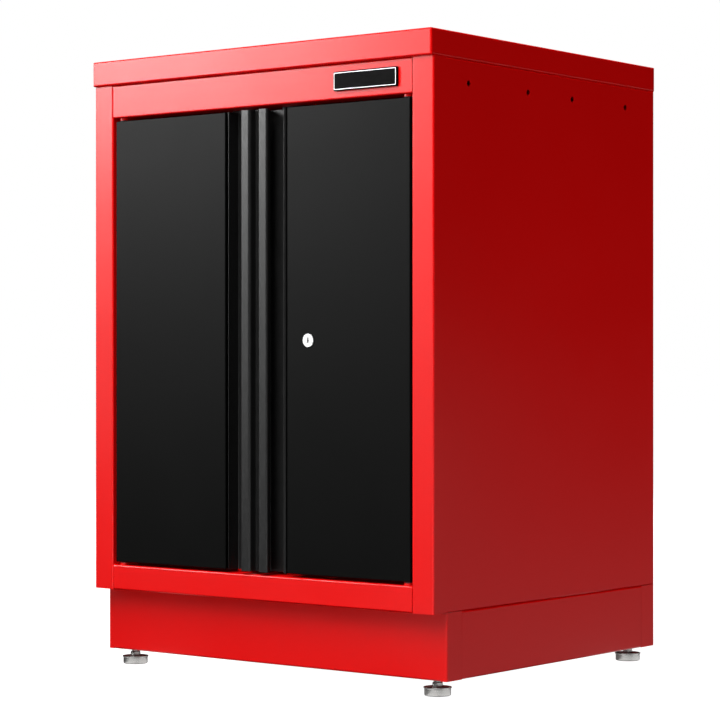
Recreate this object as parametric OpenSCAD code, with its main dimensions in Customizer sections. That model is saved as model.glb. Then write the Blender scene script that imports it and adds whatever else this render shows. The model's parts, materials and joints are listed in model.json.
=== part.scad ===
// Two-door base cabinet: a folded sheet-steel body on a recessed plinth with levelling feet,
// a folded worktop, inset doors with full-height pulls, and a keyed lock that drives two rods.
// Millimetres. The floor is z = 0, the cabinet is centred on X and Y, and the front faces -Y.

/* [Cabinet] */
// Overall width across the side panels
cabinet_w = 610; // [500:5:920]
// Depth of the body, from the face of the front frame to its back
body_d = 548; // [440:1:620]
// Overall height, from the floor to the top surface
cabinet_h = 874; // [780:1:960]
// Thickness of the body's sheet
body_t = 1.2; // [0.8:0.1:2]
// Radius of the sheet's bends, at mid-thickness
bend_r = 1.8; // [1.5:0.1:2.5]
// Width of the flanges folded in along the body's edges
flange_w = 24; // [20:1:34]
// Gap at the seams between neighbouring sheets
seam = 0.3; // [0.1:0.1:0.6]
// Diameter of the joining holes in the sides
join_hole_d = 8; // [5:0.5:12]
// Distance of the joining holes below the worktop
join_hole_drop = 30.3; // [20:0.1:50]
// Spacing of the outer pair of joining holes
join_outer = 390; // [300:1:420]
// Spacing of the inner pair of joining holes
join_inner = 110; // [60:1:200]
// How far the joining holes sit in front of the middle of the depth
join_forward = 1; // [0:0.5:20]

/* [Front frame] */
// Width of each stile
stile_w = 35.5; // [30:0.5:60]
// Depth of the stile's return edge
stile_return = 22; // [14:1:30]
// Height of the rail above the doors
top_rail_h = 47.3; // [40:0.1:80]
// Height of the rail below the doors
bottom_rail_h = 35.5; // [30:0.5:70]
// Distance of the rails behind the stiles
rail_set_back = 0.6; // [0.2:0.1:1.5]
// Depth of the rail flange that faces the doors
rail_flange = 58; // [54:1:64]

/* [Worktop] */
// Height of the worktop's skirt
top_h = 35.7; // [30:0.1:60]
// Overhang past the front frame
top_over_front = 5; // [4:0.5:20]
// Overhang past the back
top_over_back = 2; // [0:0.5:10]
// Thickness of the worktop's sheet
top_t = 1.5; // [1:0.1:2]
// Radius along the worktop's edges
top_edge_r = 2.6; // [2.2:0.1:4]
// Width of the lip folded in under the skirt
top_lip_w = 30; // [26:1:50]
// Depth of the stiffening channels under the worktop
stiffener_h = 18; // [8:1:22]
// Width of the stiffening channels
stiffener_w = 60; // [40:1:90]

/* [Plinth] */
// Height of the plinth
plinth_h = 90; // [60:1:140]
// Distance of the plinth behind the front frame
plinth_recess = 29; // [10:1:60]
// Length of the front piece's return along each side
plinth_front_return = 33.8; // [25:0.1:50]
// Length of the rear piece's return along each side
plinth_rear_return = 35.7; // [25:0.1:50]
// Width of the plinth's folded flanges
plinth_flange = 16; // [16:0.5:20]

/* [Feet] */
// Distance from the floor to the plinth's lower edge
foot_h = 22; // [20:0.5:40]
// Distance of each foot from the cabinet's side
foot_inset_x = 31.5; // [28:0.5:60]
// Distance of each foot from the plinth's front or back
foot_inset_y = 22.5; // [20:0.5:60]
// Diameter of the foot pad
pad_d = 35.4; // [30:0.1:50]
// Diameter of the pad's flared rim
pad_rim_d = 37.6; // [36:0.1:56]
// Height of the foot pad
pad_h = 11.2; // [10:0.1:14]
// Thickness of the pad's wall
pad_wall = 1.5; // [1:0.1:3]
// Diameter of the threaded stem
stem_d = 10; // [8:0.5:12]
// Size of the stem's hexagon across its flats
hex_af = 14; // [13:0.5:19]
// Height of the stem's hexagon
hex_h = 8; // [5:0.5:10]
// How far a foot can be screwed out
foot_travel = 20; // [10:1:30]
// Size of the plate that carries each foot
foot_plate_size = 78; // [72:1:100]
// Thickness of the foot plates
foot_plate_t = 2.5; // [2:0.1:4]
// Height of the foot plate's upright lap
foot_plate_lap = 40; // [20:1:50]
// Height of the nut on each foot plate
foot_nut_h = 9; // [6:0.5:14]

/* [Doors] */
// Gap between a door and the stile
door_gap_side = 4.2; // [4:0.1:8]
// Gap above and below the doors
door_gap_end = 4.4; // [4.2:0.1:6]
// Distance of the door's face behind the front frame
door_set_back = 2.2; // [0:0.1:6]
// Thickness of a door
door_d = 24; // [22:0.5:32]
// Thickness of the door's sheets
door_t = 1; // [0.8:0.1:1.4]
// Radius along the door's edges
door_edge_r = 1.5; // [1.4:0.1:3]
// Width of the lip inside the door skin
door_lip_w = 16; // [14:1:22]
// Gap where the doors meet
meeting_gap = 4.5; // [4:0.1:8]

/* [Pulls] */
// Width of the pull profile
pull_w = 49.6; // [44:0.1:70]
// Thickness of the pull's walls
pull_t = 2; // [1.5:0.1:2.5]
// Dark joint between pull and door skin
pull_seam = 3.6; // [0.6:0.1:5]
// Width of the front edge of the pull's lip
lip_edge = 0.4; // [0.3:0.1:1.4]
// Depth over which the lip thins to its front edge
lip_taper = 2; // [0.5:0.1:4]
// Width of the rolled grip
grip_w = 17.4; // [15:0.1:20]
// Radius of the grip's edge beside the meeting gap
grip_r = 4; // [3:0.1:5]
// How far the grip stands in front of the frame
grip_proud = 2.7; // [1:0.1:4.5]
// Radius of the grip's edge over the recess
curl_r = 2.8; // [2.6:0.1:4]
// How far the grip's free edge is turned back
curl_d = 5.4; // [4.8:0.1:8]
// Distance of the grip's web from the meeting edge
web_in = 4.4; // [3.6:0.1:7]
// Depth of the hollow along the meeting edge
chamber_d = 16; // [12:0.1:17]
// Radius in the corners of the pull's recess
recess_r = 1.5; // [1:0.5:5]
// Number of screws that hold each pull
pull_screw_count = 6; // [2:2:10]

/* [Hinges] */
// Distance of the pivot from the stile
pivot_in = 13; // [12.5:0.1:16]
// Distance of the pivot behind the front frame
pivot_back = 11; // [10:0.1:13]
// Diameter of the hinge pins
pin_d = 6; // [5:0.1:6.4]
// Radial clearance of the pins in their bushes
pin_clear = 0.05; // [0.02:0.01:0.1]
// Thickness of the bush's wall
bush_wall = 2; // [1.5:0.1:2.2]
// Length of the pin inside the door
pin_reach = 12; // [8:0.5:20]
// Thickness of the hinge brackets
bracket_t = 3; // [2:0.1:3.4]
// Radius of the bracket's nose
bracket_r = 6.5; // [6:0.1:8]
// Length of the bracket behind the pivot
bracket_l = 22; // [14:1:30]

/* [Lock] */
// Distance of the lock from the middle of the cabinet
lock_x = 93.5; // [85:0.5:120]
// Diameter of the lock's face
lock_face_d = 19; // [18.5:0.1:24]
// Diameter of the lock's barrel
lock_barrel_d = 17; // [15:0.1:17.5]
// How far the lock's face stands out of the door
lock_proud = 1.5; // [0.8:0.1:3]
// Diameter of the turning plug
plug_d = 12; // [10:0.5:13]
// Length of the key slot
key_slot_l = 7.5; // [5:0.1:8.5]
// Width of the key slot
key_slot_w = 2.4; // [1:0.1:2.8]
// Thickness of the latch cam
cam_t = 2; // [1.5:0.1:3]
// Length of the cam's tongue
tongue_l = 110; // [105:1:115]
// Width of the cam's tongue
tongue_w = 14; // [10:0.5:18]
// Distance of the drive pins from the lock's axis
crank_r = 14; // [13:0.5:15]
// Diameter of the drive pins
crank_pin_d = 4; // [3:0.1:4.4]
// Width of the latch rods
rod_w = 12; // [8:0.5:14]
// Thickness of the latch rods
rod_t = 3; // [2:0.1:4]
// Clearance of the drive pins in the rods' slots
slot_clear = 0.6; // [0.5:0.1:1]

/* [Shelf] */
// Height of the shelf's folded edges
shelf_h = 28; // [20:1:40]
// Thickness of the shelf's sheet
shelf_t = 1.2; // [0.8:0.1:1.6]
// Slot that holds the shelf, counted from below
shelf_slot = 7; // [2:1:12]
// Distance between slots in the uprights
slot_pitch = 40; // [30:1:45]
// Depth of the slotted uprights
upright_d = 12; // [8:0.5:15]
// Width of the slotted uprights
upright_w = 26; // [22:1:36]

/* [Hidden] */
$fn = 48;
fit = 0.1;
running = 0.05;
rest_gap = 0.3;
over = 1;

half_w = cabinet_w / 2;
total_d = top_over_front + body_d + top_over_back;
front_y = top_over_front - total_d / 2;
back_y = front_y + body_d;
body_z0 = foot_h + plinth_h;
body_z1 = cabinet_h - top_h;
mid_t = body_t / 2;
inner_r = bend_r - mid_t;
lap = 10;
flange_relief = 4;
back_relief = 2;
flange_end_gap = 1;
inner_r_min = 0.4;
open_x = half_w - stile_w;
open_z0 = body_z0 + bottom_rail_h;
open_z1 = body_z1 - top_rail_h;
floor_z = open_z0 - body_t;
floor_edge = 20;
floor_in = 40;
floor_front = front_y + floor_in;
back_sheet_y = back_y - 2 * body_t;
wall_x = half_w - body_t;
join_z = body_z1 - join_hole_drop;
join_y = (front_y + back_y) / 2 - join_forward;

bolt_d = 6;
bolt_inset = 11;
bolt_head_af = 10;
bolt_head_h = 4;
bolt_tip = 8;
worktop_bolt_in = 80;
stiffener_lug = 15;
stiffener_places = [1 / 3, 2 / 3];
worktop_bolt_ys = [front_y + worktop_bolt_in, (front_y + back_y) / 2, back_y - worktop_bolt_in];

plinth_z1 = foot_h + plinth_h;
plinth_front_y = front_y + plinth_recess;
plinth_side_y0 = plinth_front_y + plinth_front_return + seam;
plinth_side_y1 = back_y - plinth_rear_return - seam;
plinth_bolt_in = 70;
plinth_bolt_ys = [plinth_side_y0 + plinth_bolt_in, plinth_side_y1 - plinth_bolt_in];

foot_x = half_w - foot_inset_x;
foot_front_y = plinth_front_y + foot_inset_y;
foot_rear_y = back_y - foot_inset_y;
foot_plate_z = foot_h + body_t;
foot_nut_z = foot_plate_z + foot_plate_t;
foot_nut_wall = 3.5;
foot_nut_af = stem_d + 2 * foot_nut_wall;
plate_hole_clear = 0.5;
pad_edge = 1;
pad_flare_h = 2.2;
dish_z = 3.5;
boss_wall = 3;
boss_drop = 1.8;
boss_r = stem_d / 2 + boss_wall;
boss_z = pad_h - boss_drop;
socket_step = 1;
socket_r = stem_d / 2 - socket_step;
socket_z = 2;
hex_low = boss_z + rest_gap;
hex_edge = 1;
hex_edge_in = 0.3;
stem_spare = 5;
stem_top = foot_nut_z + foot_nut_h + foot_travel + stem_spare;

door_z0 = open_z0 + door_gap_end;
door_z1 = open_z1 - door_gap_end;
door_h = door_z1 - door_z0;
door_x1 = open_x - door_gap_side;
face_y = front_y + door_set_back;
skin_d = door_d - door_t;
liner_y0 = face_y + skin_d;
liner_y1 = face_y + door_d;
pull_x0 = meeting_gap / 2;
pull_x1 = pull_x0 + pull_w;
skin_x0 = pull_x1 + pull_seam;
web_x = pull_x0 + web_in;
grip_x1 = web_x + grip_w;
grip_y = front_y - grip_proud;
chamber_y = liner_y0 - chamber_d;
bead_step = 0.1;
liner_in = 1;
pull_screw_d = 3.5;
pull_screw_head_d = 7;
pull_screw_head_h = 2;
pull_screw_x = (pull_x0 + web_x + pull_t) / 2;

pivot_x = open_x - pivot_in;
pivot_y = front_y + pivot_back;
bush_r = pin_d / 2 + pin_clear + bush_wall;
bush_flange_w = 1.3;
bush_flange_r = bush_r + bush_flange_w;
bush_spare = 2;
bush_flange_t = door_gap_end - bracket_t - rest_gap;
pin_head_w = 2;
pin_head_r = pin_d / 2 + pin_head_w;
pin_head_h = 2;

lock_z = (door_z0 + door_z1) / 2;
lock_edge = 0.5;
lock_nut_wall = 3;
lock_nut_af = lock_barrel_d + 2 * lock_nut_wall;
lock_nut_h = 5;
barrel_out = 2;
barrel_end = liner_y1 + barrel_out;
cam_y0 = barrel_end + rest_gap;
cam_y1 = cam_y0 + cam_t;
cam_rim = 2;
cam_r = crank_r + crank_pin_d / 2 + cam_rim;
cam_washer_t = 1;
cam_washer_w = 1;
cam_screw_d = 5;
cam_screw_head_r = 3.8;
cam_screw_head_h = 2.5;
spigot_r = 4;
rod_gap = 1;
rod_y0 = cam_y1 + rod_gap;
rod_y1 = rod_y0 + rod_t;
crank_swing = 45;
crank_pin_out = 0.6;
crank_near = crank_r * cos(crank_swing);
crank_rest = crank_r * sin(crank_swing);
rod_slot_x0 = crank_near - crank_pin_d / 2 - slot_clear;
rod_slot_x1 = crank_r + crank_pin_d / 2 + slot_clear;
rod_slot_h = crank_pin_d + 2 * slot_clear;
rod_wall = 2.2;
rod_x = (rod_slot_x0 + rod_slot_x1) / 2;
rod_pad_wall = 4;
rod_pad_h = rod_slot_h + 2 * rod_pad_wall;
rod_in = 2;
rod_l = door_z1 - rod_in - lock_z + crank_rest;
rod_hole_clear = 2;
guide_foot = 7;
guide_w = rod_w + 2 * guide_foot;
guide_h = 10;
guide_cap = 2;
guide_far = 30;
guide_near = 135;

catch_x = 45;
catch_w = 40;
catch_h = 18;
catch_d = 20;
catch_edge_r = 1.5;
strike_t = 1;
strike_w = 32;
strike_h = 16;
strike_in = 2;
catch_y = liner_y1 + strike_t + rest_gap;
magnet_w = 30;
magnet_h = 8;
magnet_d = 10;
bumper_r = 6;
bumper_t = 4;
bumper_rise = 11;
stop_t = 1.5;
stop_w = 26;
stop_l = 18;
stop_rise = 2;
stop_y = liner_y1 + rest_gap + bumper_t;

keeper_t = 1.5;
keeper_w = 16;
keeper_in = 2;
keeper_rise = 2;
keeper_x = meeting_gap / 2 + keeper_in;
keeper_lip_y = cam_y1 + rod_gap;
keeper_shelf_z = lock_z + tongue_w / 2 + keeper_rise;
keeper_base_h = 20;

upright_lug = 9;
upright_front_in = 95;
upright_rear_in = 60;
upright_top_in = 45;
upright_front_y = front_y + upright_front_in;
upright_rear_y = back_sheet_y - upright_rear_in;
upright_z1 = body_z1 - upright_top_in;
upright_face = wall_x - upright_d - body_t;
slot_w = 4;
slot_l = 14;
slot_first = 40;
slot_z0 = floor_z + slot_first;
slot_count = floor((upright_z1 - slot_z0) / slot_pitch);
clip_t = 2;
clip_w = 14;
clip_ledge = 16;
clip_tab_h = 16;
clip_hook = 6;
clip_drop = 1;
hook_play = 0.3;
hook_short = 2;
clip_z = slot_z0 + shelf_slot * slot_pitch - clip_drop;
shelf_play = 1;
shelf_front_in = 72;
shelf_x = upright_face - clip_t - shelf_play;
shelf_y0 = front_y + shelf_front_in;
shelf_y1 = back_sheet_y - back_relief;
shelf_lip_w = 14;
shelf_edge_r = 2;
shelf_z0 = clip_z + clip_t;

red = [0.84, 0.06, 0.06];
black = [0.07, 0.07, 0.07];
zinc = [0.72, 0.74, 0.76];
nickel = [0.83, 0.83, 0.82];
nylon = [0.16, 0.16, 0.17];
rubber = [0.1, 0.1, 0.1];

// Helpers for folded sheet

function unit(v) = v / norm(v);

// A straight stretch of sheet between two points on its mid-line
module leg(a, b, t) {
    span = [abs(b.x - a.x), abs(b.y - a.y)];
    upright = span.y > span.x;
    translate([min(a.x, b.x), min(a.y, b.y)] - (upright ? [t / 2, 0] : [0, t / 2]))
        square(upright ? [t, span.y] : [span.x, t]);
}

// The quarter ring where a sheet turns a square corner
module bend(corner, into, out, t, r = bend_r) {
    reach = r + t / 2;
    toward = into - out;
    translate(corner - into * r + out * r)
        intersection() {
            difference() {
                circle(r = reach);
                circle(r = r - t / 2);
            }
            translate([toward.x < 0 ? -reach : 0, toward.y < 0 ? -reach : 0])
                square(reach);
        }
}

// The section of a sheet folded along square corners, given by the points of its mid-line
module folded(points, t) {
    last = len(points) - 1;
    for (i = [0 : last - 1]) {
        along = unit(points[i + 1] - points[i]);
        leg(
            points[i] + along * (i == 0 ? 0 : bend_r),
            points[i + 1] - along * (i == last - 1 ? 0 : bend_r),
            t
        );
    }
    for (i = [1 : last - 1])
        bend(points[i], unit(points[i] - points[i - 1]), unit(points[i + 1] - points[i]), t);
}

// A section drawn in Y and Z, run along X between two places
module along_x(x0, x1) {
    translate([x0, 0, 0])
        rotate([90, 0, 90])
            linear_extrude(x1 - x0)
                children();
}

// A section drawn in X and Z, run along Y between two places
module along_y(y0, y1) {
    translate([0, y1, 0])
        rotate([90, 0, 0])
            linear_extrude(y1 - y0)
                children();
}

// A section drawn in X and Y, run along Z between two places
module along_z(z0, z1) {
    translate([0, 0, z0])
        linear_extrude(z1 - z0)
            children();
}

module block(low, high) {
    translate(low)
        cube(high - low);
}

module both_sides() {
    children();
    mirror([1, 0, 0])
        children();
}

module bar_y(r, y0, y1) {
    translate([0, y0, 0])
        rotate([-90, 0, 0])
            cylinder(r = r, h = y1 - y0);
}

module bar_z(r, z0, z1) {
    translate([0, 0, z0])
        cylinder(r = r, h = z1 - z0);
}

module hex_z(af, z0, z1) {
    translate([0, 0, z0])
        cylinder(d = af / cos(30), h = z1 - z0, $fn = 6);
}

module round_rect(size, r) {
    translate([r, 0])
        square([size.x - 2 * r, size.y]);
    translate([0, r])
        square([size.x, size.y - 2 * r]);
    for (x = [r, size.x - r], y = [r, size.y - r])
        translate([x, y])
            circle(r = r);
}

// A box with all its edges rounded
module round_block(low, high, r) {
    size = high - low;
    translate(low)
        intersection() {
            along_z(0, size.z)
                round_rect([size.x, size.y], r);
            along_y(0, size.y)
                round_rect([size.x, size.z], r);
            along_x(0, size.x)
                round_rect([size.y, size.z], r);
        }
}

// A closed box of sheet with rounded edges
module sheet_box(low, high, r, t) {
    wall = [t, t, t];
    difference() {
        round_block(low, high, r);
        round_block(low + wall, high - wall, max(r - t, inner_r_min));
    }
}

// A bolt that points up, with its head under z
module bolt(z, tip_z) {
    hex_z(bolt_head_af, z - bolt_head_h, z);
    bar_z(bolt_d / 2, z - bolt_head_h / 2, tip_z);
}

// Body

module side_panel() {
    y0 = front_y + stile_return + flange_relief;
    y1 = back_sheet_y - back_relief;
    outer = half_w - mid_t;
    difference() {
        union() {
            difference() {
                along_z(body_z0, body_z1)
                    folded([
                        [open_x + mid_t, front_y + stile_return],
                        [open_x + mid_t, front_y + mid_t],
                        [outer, front_y + mid_t],
                        [outer, back_y - mid_t],
                        [half_w - flange_w, back_y - mid_t]
                    ], body_t);
                for (z = [body_z0 - lap, body_z1 - lap])
                    block([wall_x - lap, y0, z], [half_w + lap, y1, z + 2 * lap]);
            }
            along_y(y0, y1)
                folded([
                    [outer, body_z1 - 2 * lap],
                    [outer, body_z1 - mid_t],
                    [half_w - flange_w, body_z1 - mid_t]
                ], body_t);
            along_y(y0, y1)
                folded([
                    [outer, body_z0 + 2 * lap],
                    [outer, body_z0 + mid_t],
                    [half_w - flange_w, body_z0 + mid_t]
                ], body_t);
            block([open_x, front_y + bend_r, body_z0], [half_w - bend_r, y0, body_z0 + body_t]);
        }
        for (spacing = [join_outer, join_inner], side = [-1, 1])
            translate([half_w, join_y + side * spacing / 2, join_z])
                rotate([0, 90, 0])
                    cylinder(d = join_hole_d, h = lap, center = true);
        for (y = worktop_bolt_ys)
            translate([half_w - bolt_inset, y, 0])
                bar_z(bolt_d / 2 + fit, body_z1 - lap, body_z1 + lap);
        for (y = plinth_bolt_ys)
            translate([half_w - bolt_inset, y, 0])
                bar_z(bolt_d / 2 + fit, body_z0 - lap, body_z0 + lap);
    }
}

module side_panel_right() {
    color(red)
        side_panel();
}

module side_panel_left() {
    color(red)
        mirror([1, 0, 0])
            side_panel();
}

module back_panel() {
    mid_y = back_sheet_y + mid_t;
    edge_x = wall_x - inner_r - fit;
    top_x = half_w - flange_w - flange_end_gap;
    color(red) {
        block([-edge_x, back_sheet_y, body_z0], [edge_x, back_sheet_y + body_t, body_z1 - lap]);
        along_x(-top_x, top_x)
            folded([
                [mid_y, body_z1 - 2 * lap],
                [mid_y, body_z1 - mid_t],
                [mid_y - flange_w, body_z1 - mid_t]
            ], body_t);
    }
}

module floor_panel() {
    edge_x = wall_x - fit - mid_t;
    mid_z = floor_z - mid_t;
    color(red)
        along_y(floor_front, back_sheet_y - fit)
            folded([
                [-edge_x, mid_z - floor_edge],
                [-edge_x, mid_z],
                [edge_x, mid_z],
                [edge_x, mid_z - floor_edge]
            ], body_t);
}

// The opening in a rail flange for the end of a latch rod
module rod_hole(x, z) {
    block(
        [x - rod_w / 2 - rod_hole_clear, rod_y0 - rod_hole_clear, z - lap],
        [x + rod_w / 2 + rod_hole_clear, rod_y1 + rod_hole_clear, z + lap]
    );
}

module pin_holes(z) {
    both_sides()
        translate([pivot_x, pivot_y, 0])
            bar_z(pin_d / 2 + running, z - lap / 2, z + lap / 2);
}

module top_rail() {
    end_x = open_x - seam;
    near_y = front_y + rail_set_back + mid_t;
    far_y = front_y + rail_flange;
    color(red)
        difference() {
            along_x(-end_x, end_x)
                folded([
                    [front_y + flange_w, body_z1 - mid_t],
                    [near_y, body_z1 - mid_t],
                    [near_y, open_z1 + mid_t],
                    [far_y - mid_t, open_z1 + mid_t],
                    [far_y - mid_t, open_z1 + flange_w / 2]
                ], body_t);
            rod_hole(lock_x - rod_x, open_z1);
            pin_holes(open_z1);
        }
}

module bottom_rail() {
    end_x = open_x - seam;
    near_y = front_y + rail_set_back + mid_t;
    color(red)
        difference() {
            along_x(-end_x, end_x)
                folded([
                    [front_y + rail_flange, open_z0 - mid_t],
                    [near_y, open_z0 - mid_t],
                    [near_y, body_z0 + mid_t],
                    [plinth_front_y + flange_w, body_z0 + mid_t]
                ], body_t);
            rod_hole(lock_x + rod_x, open_z0);
            pin_holes(open_z0);
        }
}

// Worktop

module worktop() {
    top_front = front_y - top_over_front;
    top_back = back_y + top_over_back;
    color(red)
        difference() {
            sheet_box([-half_w, top_front, body_z1], [half_w, top_back, cabinet_h], top_edge_r, top_t);
            block(
                [-half_w + top_lip_w, top_front + top_lip_w, body_z1 - lap],
                [half_w - top_lip_w, top_back - top_lip_w, body_z1 + lap]
            );
            both_sides()
                for (y = worktop_bolt_ys)
                    translate([half_w - bolt_inset, y, 0])
                        bar_z(bolt_d / 2 + fit, body_z1 - lap, body_z1 + lap / 2);
        }
}

module worktop_stiffeners() {
    end_x = half_w - top_t - top_edge_r;
    high = cabinet_h - top_t - mid_t;
    low = high - stiffener_h;
    color(red)
        for (place = stiffener_places)
            translate([0, front_y + body_d * place, 0])
                along_x(-end_x, end_x)
                    folded([
                        [-stiffener_w / 2 - stiffener_lug, high],
                        [-stiffener_w / 2, high],
                        [-stiffener_w / 2, low],
                        [stiffener_w / 2, low],
                        [stiffener_w / 2, high],
                        [stiffener_w / 2 + stiffener_lug, high]
                    ], body_t);
}

module worktop_bolts() {
    color(zinc)
        both_sides()
            for (y = worktop_bolt_ys)
                translate([half_w - bolt_inset, y, 0])
                    bolt(body_z1 - body_t, body_z1 + top_t + bolt_tip);
}

// Plinth

// The front piece lies at y0 and its returns run to +Y
module plinth_end(y0, return_l) {
    outer = half_w - mid_t;
    flange_x = half_w - lap;
    difference() {
        along_z(foot_h, plinth_z1)
            folded([
                [outer, y0 + return_l],
                [outer, y0 + mid_t],
                [-outer, y0 + mid_t],
                [-outer, y0 + return_l]
            ], body_t);
        for (z = [foot_h - lap, plinth_z1 - lap])
            block([-flange_x, y0 - lap, z], [flange_x, y0 + lap, z + 2 * lap]);
    }
    difference() {
        along_x(-flange_x, flange_x) {
            folded([
                [y0 + mid_t, plinth_z1 - 2 * lap],
                [y0 + mid_t, plinth_z1 - mid_t],
                [y0 + plinth_flange, plinth_z1 - mid_t]
            ], body_t);
            folded([
                [y0 + mid_t, foot_h + 2 * lap],
                [y0 + mid_t, foot_h + mid_t],
                [y0 + plinth_flange, foot_h + mid_t]
            ], body_t);
        }
        both_sides()
            translate([foot_x, y0 + foot_inset_y, 0])
                bar_z(stem_d / 2 + plate_hole_clear, foot_h - over, foot_h + lap);
    }
}

module plinth_front() {
    color(red)
        plinth_end(plinth_front_y, plinth_front_return);
}

module plinth_rear() {
    color(red)
        mirror([0, 1, 0])
            plinth_end(-back_y, plinth_rear_return);
}

module plinth_side() {
    difference() {
        along_y(plinth_side_y0, plinth_side_y1)
            folded([
                [half_w - plinth_flange, plinth_z1 - mid_t],
                [half_w - mid_t, plinth_z1 - mid_t],
                [half_w - mid_t, foot_h + mid_t],
                [half_w - plinth_flange, foot_h + mid_t]
            ], body_t);
        for (y = plinth_bolt_ys)
            translate([half_w - bolt_inset, y, 0])
                bar_z(bolt_d / 2 + fit, plinth_z1 - lap, plinth_z1 + lap);
    }
}

module plinth_side_right() {
    color(red)
        plinth_side();
}

module plinth_side_left() {
    color(red)
        mirror([1, 0, 0])
            plinth_side();
}

module plinth_bolts() {
    color(zinc)
        both_sides()
            for (y = plinth_bolt_ys)
                translate([half_w - bolt_inset, y, 0])
                    bolt(plinth_z1 - body_t, plinth_z1 + body_t + bolt_tip);
}

// Feet

// The corner plate laps behind the plinth's return and its side piece
module foot_plate_at(y_start, foot_y) {
    half_t = foot_plate_t / 2;
    outer = wall_x - half_t;
    difference() {
        along_y(y_start, y_start + foot_plate_size)
            folded([
                [half_w - foot_plate_size, foot_plate_z + half_t],
                [outer, foot_plate_z + half_t],
                [outer, foot_plate_z + foot_plate_lap]
            ], foot_plate_t);
        translate([foot_x, foot_y, 0])
            bar_z(stem_d / 2 + plate_hole_clear, foot_h, foot_nut_z + lap);
    }
}

module foot_plates() {
    color(red)
        both_sides() {
            foot_plate_at(plinth_front_y + body_t + inner_r + fit, foot_front_y);
            foot_plate_at(back_y - body_t - inner_r - fit - foot_plate_size, foot_rear_y);
        }
}

module foot_nuts() {
    color(zinc)
        for (x = [-foot_x, foot_x], y = [foot_front_y, foot_rear_y])
            translate([x, y, 0])
                difference() {
                    hex_z(foot_nut_af, foot_nut_z, foot_nut_z + foot_nut_h);
                    bar_z(stem_d / 2 + running, foot_nut_z - over, foot_nut_z + foot_nut_h + over);
                }
}

module foot_pad(x, y) {
    r = pad_d / 2;
    rim = pad_rim_d / 2;
    color(nickel)
        translate([x, y, 0])
            rotate_extrude()
                polygon([
                    [0, 0],
                    [r - pad_edge, 0],
                    [r, pad_edge],
                    [r, pad_h - pad_flare_h],
                    [rim, pad_h - pad_edge],
                    [rim, pad_h],
                    [rim - pad_wall, pad_h],
                    [r - pad_wall, pad_h - pad_flare_h],
                    [r - pad_wall, dish_z],
                    [boss_r, dish_z],
                    [boss_r, boss_z],
                    [socket_r, boss_z],
                    [socket_r, socket_z],
                    [0, socket_z]
                ]);
}

module foot_stem(x, y) {
    chamfer_r = hex_af / cos(30) / 2;
    color(nickel)
        translate([x, y, 0]) {
            bar_z(socket_r - running, socket_z + rest_gap, hex_low + hex_h / 2);
            intersection() {
                hex_z(hex_af, hex_low, hex_low + hex_h);
                union() {
                    bar_z(chamfer_r + over, hex_low, hex_low + hex_h - hex_edge);
                    translate([0, 0, hex_low + hex_h - hex_edge])
                        cylinder(r1 = chamfer_r, r2 = hex_af / 2 - hex_edge_in, h = hex_edge);
                }
            }
            bar_z(stem_d / 2, hex_low + hex_h / 2, stem_top);
        }
}

// Hinges, catches and stops

module hinge_bracket(z0) {
    translate([pivot_x, pivot_y, 0])
        difference() {
            along_z(z0, z0 + bracket_t) {
                circle(r = bracket_r);
                translate([-bracket_r, 0])
                    square([2 * bracket_r, bracket_l]);
            }
            bar_z(pin_d / 2 + running, z0 - over, z0 + bracket_t + over);
        }
}

module hinge_brackets() {
    color(red)
        both_sides() {
            hinge_bracket(open_z0);
            hinge_bracket(open_z1 - bracket_t);
        }
}

module hinge_pins() {
    low = open_z0 - body_t;
    high = open_z1 + body_t;
    color(zinc)
        both_sides()
            translate([pivot_x, pivot_y, 0]) {
                bar_z(pin_head_r, low - pin_head_h, low);
                bar_z(pin_d / 2, low - pin_head_h / 2, door_z0 + pin_reach);
                bar_z(pin_head_r, high, high + pin_head_h);
                bar_z(pin_d / 2, door_z1 - pin_reach, high + pin_head_h / 2);
            }
}

module catch_housings() {
    pocket_x = magnet_w / 2 + fit;
    z0 = open_z1 - catch_h;
    magnet_z = door_z1 - strike_in - strike_h / 2;
    color(nylon)
        both_sides()
            difference() {
                round_block(
                    [catch_x - catch_w / 2, catch_y, z0],
                    [catch_x + catch_w / 2, catch_y + catch_d, open_z1],
                    catch_edge_r
                );
                block(
                    [catch_x - pocket_x, catch_y - over, magnet_z - magnet_h / 2 - fit],
                    [catch_x + pocket_x, catch_y + magnet_d + fit, magnet_z + magnet_h / 2 + fit]
                );
            }
}

module catch_magnets() {
    magnet_z = door_z1 - strike_in - strike_h / 2;
    color(zinc)
        both_sides()
            block(
                [catch_x - magnet_w / 2, catch_y, magnet_z - magnet_h / 2],
                [catch_x + magnet_w / 2, catch_y + magnet_d, magnet_z + magnet_h / 2]
            );
}

module door_stops() {
    half_t = stop_t / 2;
    top_z = door_z0 + bumper_rise + bumper_r + stop_rise;
    color(red)
        both_sides()
            along_x(catch_x - stop_w / 2, catch_x + stop_w / 2)
                folded([
                    [stop_y + half_t, top_z],
                    [stop_y + half_t, open_z0 + half_t],
                    [stop_y + stop_l, open_z0 + half_t]
                ], stop_t);
}

module door_bumpers() {
    color(rubber)
        both_sides()
            translate([catch_x, 0, door_z0 + bumper_rise])
                bar_y(bumper_r, stop_y - bumper_t, stop_y);
}

// Shelf

module shelf() {
    color(red)
        difference() {
            sheet_box(
                [-shelf_x, shelf_y0, shelf_z0],
                [shelf_x, shelf_y1, shelf_z0 + shelf_h],
                shelf_edge_r,
                shelf_t
            );
            block(
                [-shelf_x + shelf_lip_w, shelf_y0 + shelf_lip_w, shelf_z0 - over],
                [shelf_x - shelf_lip_w, shelf_y1 - shelf_lip_w, shelf_z0 + lap]
            );
        }
}

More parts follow.
